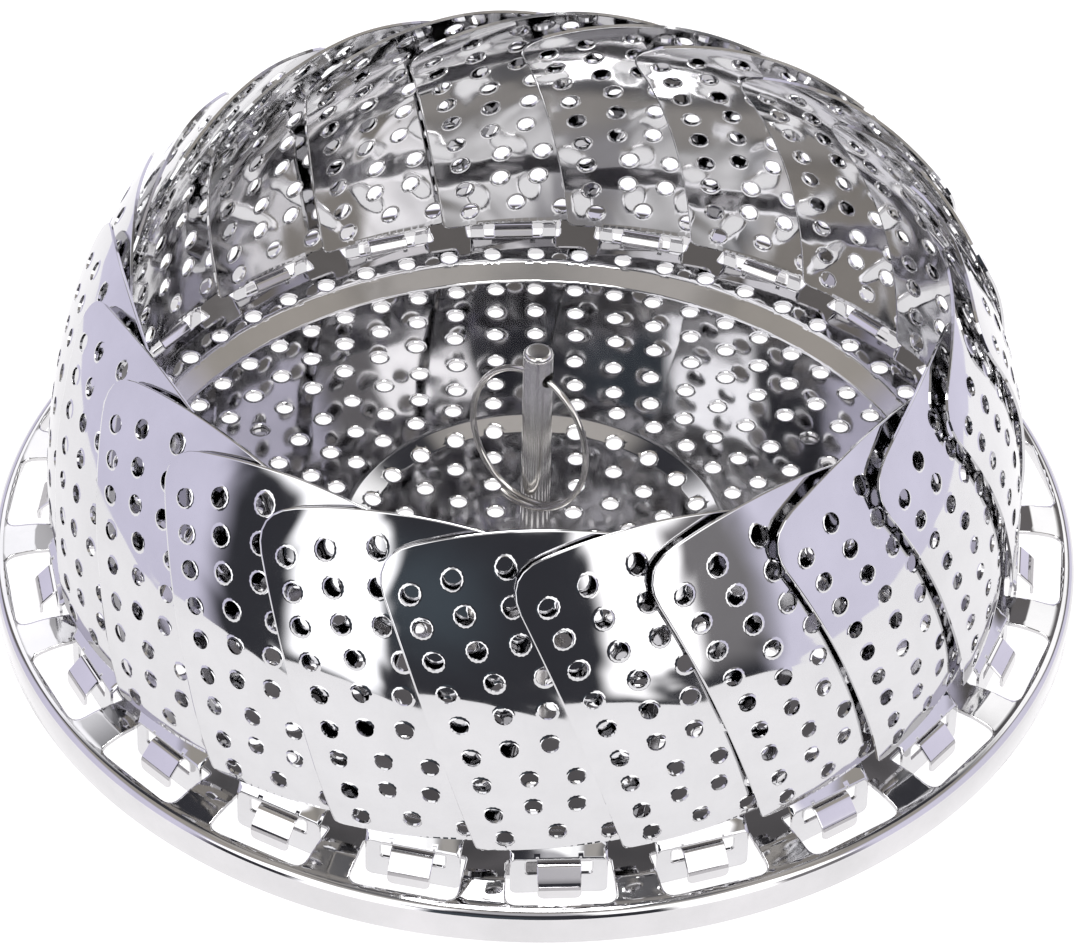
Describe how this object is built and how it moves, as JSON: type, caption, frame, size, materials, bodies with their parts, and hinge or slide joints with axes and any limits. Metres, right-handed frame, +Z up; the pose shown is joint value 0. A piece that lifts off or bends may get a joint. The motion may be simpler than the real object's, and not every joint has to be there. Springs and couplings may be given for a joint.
{
  "type": "folding steamer basket",
  "caption": "Folding perforated steel steamer basket: hinged overlapping petals on a round stepped base, centre post with swinging ring, folding legs.",
  "frame": {"origin": "on the surface that the feet stand on, under the centre of the base plate", "axes": "+Z up along the post, -Y towards the side seen in front, +X to the right"},
  "size_m": [0.184, 0.184, 0.0807],
  "materials": {
    "plate_steel": "mirror polished stainless steel",
    "petal_steel": "mirror polished stainless steel",
    "post_steel": "turned stainless steel",
    "wire_steel": "drawn stainless wire",
    "leg_steel": "satin stainless steel"
  },
  "bodies": {
    "base": {"base_plate": "plate_steel", "centre_post": "post_steel", "post_washer": "post_steel", "post_nut": "post_steel", "leg_bracket_1": "leg_steel", "leg_bracket_2": "leg_steel", "leg_bracket_3": "leg_steel", "leg_pin_1": "leg_steel", "leg_pin_2": "leg_steel", "leg_pin_3": "leg_steel"},
    "petal_01_body": {"petal_01": "petal_steel"},
    "petal_02_body": {"petal_02": "petal_steel"},
    "petal_03_body": {"petal_03": "petal_steel"},
    "petal_04_body": {"petal_04": "petal_steel"},
    "petal_05_body": {"petal_05": "petal_steel"},
    "petal_06_body": {"petal_06": "petal_steel"},
    "petal_07_body": {"petal_07": "petal_steel"},
    "petal_08_body": {"petal_08": "petal_steel"},
    "petal_09_body": {"petal_09": "petal_steel"},
    "petal_10_body": {"petal_10": "petal_steel"},
    "petal_11_body": {"petal_11": "petal_steel"},
    "petal_12_body": {"petal_12": "petal_steel"},
    "petal_13_body": {"petal_13": "petal_steel"},
    "petal_14_body": {"petal_14": "petal_steel"},
    "petal_15_body": {"petal_15": "petal_steel"},
    "petal_16_body": {"petal_16": "petal_steel"},
    "petal_17_body": {"petal_17": "petal_steel"},
    "petal_18_body": {"petal_18": "petal_steel"},
    "petal_19_body": {"petal_19": "petal_steel"},
    "petal_20_body": {"petal_20": "petal_steel"},
    "petal_21_body": {"petal_21": "petal_steel"},
    "petal_22_body": {"petal_22": "petal_steel"},
    "ring_handle_body": {"ring_handle": "wire_steel"},
    "leg_1_body": {"leg_1": "leg_steel"},
    "leg_2_body": {"leg_2": "leg_steel"},
    "leg_3_body": {"leg_3": "leg_steel"}
  },
  "joints": [
    {"name": "petal_01_fold", "type": "hinge", "parent": "base", "child": "petal_01_body", "pos_m": [-0.00515, 0.08184, 0.022], "axis": [-0.998, -0.0628, 0], "range_deg": [-32, 68]},
    {"name": "petal_02_fold", "type": "hinge", "parent": "base", "child": "petal_02_body", "pos_m": [0.01812, 0.07997, 0.022], "axis": [-0.9753, 0.2209, 0], "range_deg": [-32, 68]},
    {"name": "petal_03_fold", "type": "hinge", "parent": "base", "child": "petal_03_body", "pos_m": [0.03991, 0.07163, 0.022], "axis": [-0.8735, 0.4868, 0], "range_deg": [-32, 68]},
    {"name": "petal_04_fold", "type": "hinge", "parent": "base", "child": "petal_04_body", "pos_m": [0.05848, 0.05748, 0.022], "axis": [-0.701, 0.7131, 0], "range_deg": [-32, 68]},
    {"name": "petal_05_fold", "type": "hinge", "parent": "base", "child": "petal_05_body", "pos_m": [0.0723, 0.03868, 0.022], "axis": [-0.4717, 0.8818, 0], "range_deg": [-32, 68]},
    {"name": "petal_06_fold", "type": "hinge", "parent": "base", "child": "petal_06_body", "pos_m": [0.08027, 0.01674, 0.022], "axis": [-0.2042, 0.9789, 0], "range_deg": [-32, 68]},
    {"name": "petal_07_fold", "type": "hinge", "parent": "base", "child": "petal_07_body", "pos_m": [0.08174, -0.00655, 0.022], "axis": [0.0799, 0.9968, 0], "range_deg": [-32, 68]},
    {"name": "petal_08_fold", "type": "hinge", "parent": "base", "child": "petal_08_body", "pos_m": [0.07658, -0.02931, 0.022], "axis": [0.3575, 0.9339, 0], "range_deg": [-32, 68]},
    {"name": "petal_09_fold", "type": "hinge", "parent": "base", "child": "petal_09_body", "pos_m": [0.06522, -0.0497, 0.022], "axis": [0.6061, 0.7954, 0], "range_deg": [-32, 68]},
    {"name": "petal_10_fold", "type": "hinge", "parent": "base", "child": "petal_10_body", "pos_m": [0.04858, -0.06606, 0.022], "axis": [0.8056, 0.5924, 0], "range_deg": [-32, 68]},
    {"name": "petal_11_fold", "type": "hinge", "parent": "base", "child": "petal_11_body", "pos_m": [0.028, -0.07707, 0.022], "axis": [0.9399, 0.3414, 0], "range_deg": [-32, 68]},
    {"name": "petal_12_fold", "type": "hinge", "parent": "base", "child": "petal_12_body", "pos_m": [0.00515, -0.08184, 0.022], "axis": [0.998, 0.0628, 0], "range_deg": [-32, 68]},
    {"name": "petal_13_fold", "type": "hinge", "parent": "base", "child": "petal_13_body", "pos_m": [-0.01812, -0.07997, 0.022], "axis": [0.9753, -0.2209, 0], "range_deg": [-32, 68]},
    {"name": "petal_14_fold", "type": "hinge", "parent": "base", "child": "petal_14_body", "pos_m": [-0.03991, -0.07163, 0.022], "axis": [0.8735, -0.4868, 0], "range_deg": [-32, 68]},
    {"name": "petal_15_fold", "type": "hinge", "parent": "base", "child": "petal_15_body", "pos_m": [-0.05848, -0.05748, 0.022], "axis": [0.701, -0.7131, 0], "range_deg": [-32, 68]},
    {"name": "petal_16_fold", "type": "hinge", "parent": "base", "child": "petal_16_body", "pos_m": [-0.0723, -0.03868, 0.022], "axis": [0.4717, -0.8818, 0], "range_deg": [-32, 68]},
    {"name": "petal_17_fold", "type": "hinge", "parent": "base", "child": "petal_17_body", "pos_m": [-0.08027, -0.01674, 0.022], "axis": [0.2042, -0.9789, 0], "range_deg": [-32, 68]},
    {"name": "petal_18_fold", "type": "hinge", "parent": "base", "child": "petal_18_body", "pos_m": [-0.08174, 0.00655, 0.022], "axis": [-0.0799, -0.9968, 0], "range_deg": [-32, 68]},
    {"name": "petal_19_fold", "type": "hinge", "parent": "base", "child": "petal_19_body", "pos_m": [-0.07658, 0.02931, 0.022], "axis": [-0.3575, -0.9339, 0], "range_deg": [-32, 68]},
    {"name": "petal_20_fold", "type": "hinge", "parent": "base", "child": "petal_20_body", "pos_m": [-0.06522, 0.0497, 0.022], "axis": [-0.6061, -0.7954, 0], "range_deg": [-32, 68]},
    {"name": "petal_21_fold", "type": "hinge", "parent": "base", "child": "petal_21_body", "pos_m": [-0.04858, 0.06606, 0.022], "axis": [-0.8056, -0.5924, 0], "range_deg": [-32, 68]},
    {"name": "petal_22_fold", "type": "hinge", "parent": "base", "child": "petal_22_body", "pos_m": [-0.028, 0.07707, 0.022], "axis": [-0.9399, -0.3414, 0], "range_deg": [-32, 68]},
    {"name": "ring_swing", "type": "hinge", "parent": "base", "child": "ring_handle_body", "pos_m": [0, 0, 0.056], "axis": [-0.7771, 0.6293, 0], "range_deg": [0, 338]},
    {"name": "leg_1_fold", "type": "hinge", "parent": "base", "child": "leg_1_body", "pos_m": [0.0485, 0.028, 0.0158], "axis": [-0.5, 0.866, 0], "range_deg": [0, 90]},
    {"name": "leg_2_fold", "type": "hinge", "parent": "base", "child": "leg_2_body", "pos_m": [0, -0.056, 0.0158], "axis": [1, 0, 0], "range_deg": [0, 90]},
    {"name": "leg_3_fold", "type": "hinge", "parent": "base", "child": "leg_3_body", "pos_m": [-0.0485, 0.028, 0.0158], "axis": [-0.5, -0.866, 0], "range_deg": [0, 90]}
  ],
  "couplings": [
    {"joint": "petal_02_fold", "follows": "petal_01_fold", "ratio": 1},
    {"joint": "petal_03_fold", "follows": "petal_01_fold", "ratio": 1},
    {"joint": "petal_04_fold", "follows": "petal_01_fold", "ratio": 1},
    {"joint": "petal_05_fold", "follows": "petal_01_fold", "ratio": 1},
    {"joint": "petal_06_fold", "follows": "petal_01_fold", "ratio": 1},
    {"joint": "petal_07_fold", "follows": "petal_01_fold", "ratio": 1},
    {"joint": "petal_08_fold", "follows": "petal_01_fold", "ratio": 1},
    {"joint": "petal_09_fold", "follows": "petal_01_fold", "ratio": 1},
    {"joint": "petal_10_fold", "follows": "petal_01_fold", "ratio": 1},
    {"joint": "petal_11_fold", "follows": "petal_01_fold", "ratio": 1},
    {"joint": "petal_12_fold", "follows": "petal_01_fold", "ratio": 1},
    {"joint": "petal_13_fold", "follows": "petal_01_fold", "ratio": 1},
    {"joint": "petal_14_fold", "follows": "petal_01_fold", "ratio": 1},
    {"joint": "petal_15_fold", "follows": "petal_01_fold", "ratio": 1},
    {"joint": "petal_16_fold", "follows": "petal_01_fold", "ratio": 1},
    {"joint": "petal_17_fold", "follows": "petal_01_fold", "ratio": 1},
    {"joint": "petal_18_fold", "follows": "petal_01_fold", "ratio": 1},
    {"joint": "petal_19_fold", "follows": "petal_01_fold", "ratio": 1},
    {"joint": "petal_20_fold", "follows": "petal_01_fold", "ratio": 1},
    {"joint": "petal_21_fold", "follows": "petal_01_fold", "ratio": 1},
    {"joint": "petal_22_fold", "follows": "petal_01_fold", "ratio": 1}
  ]
}
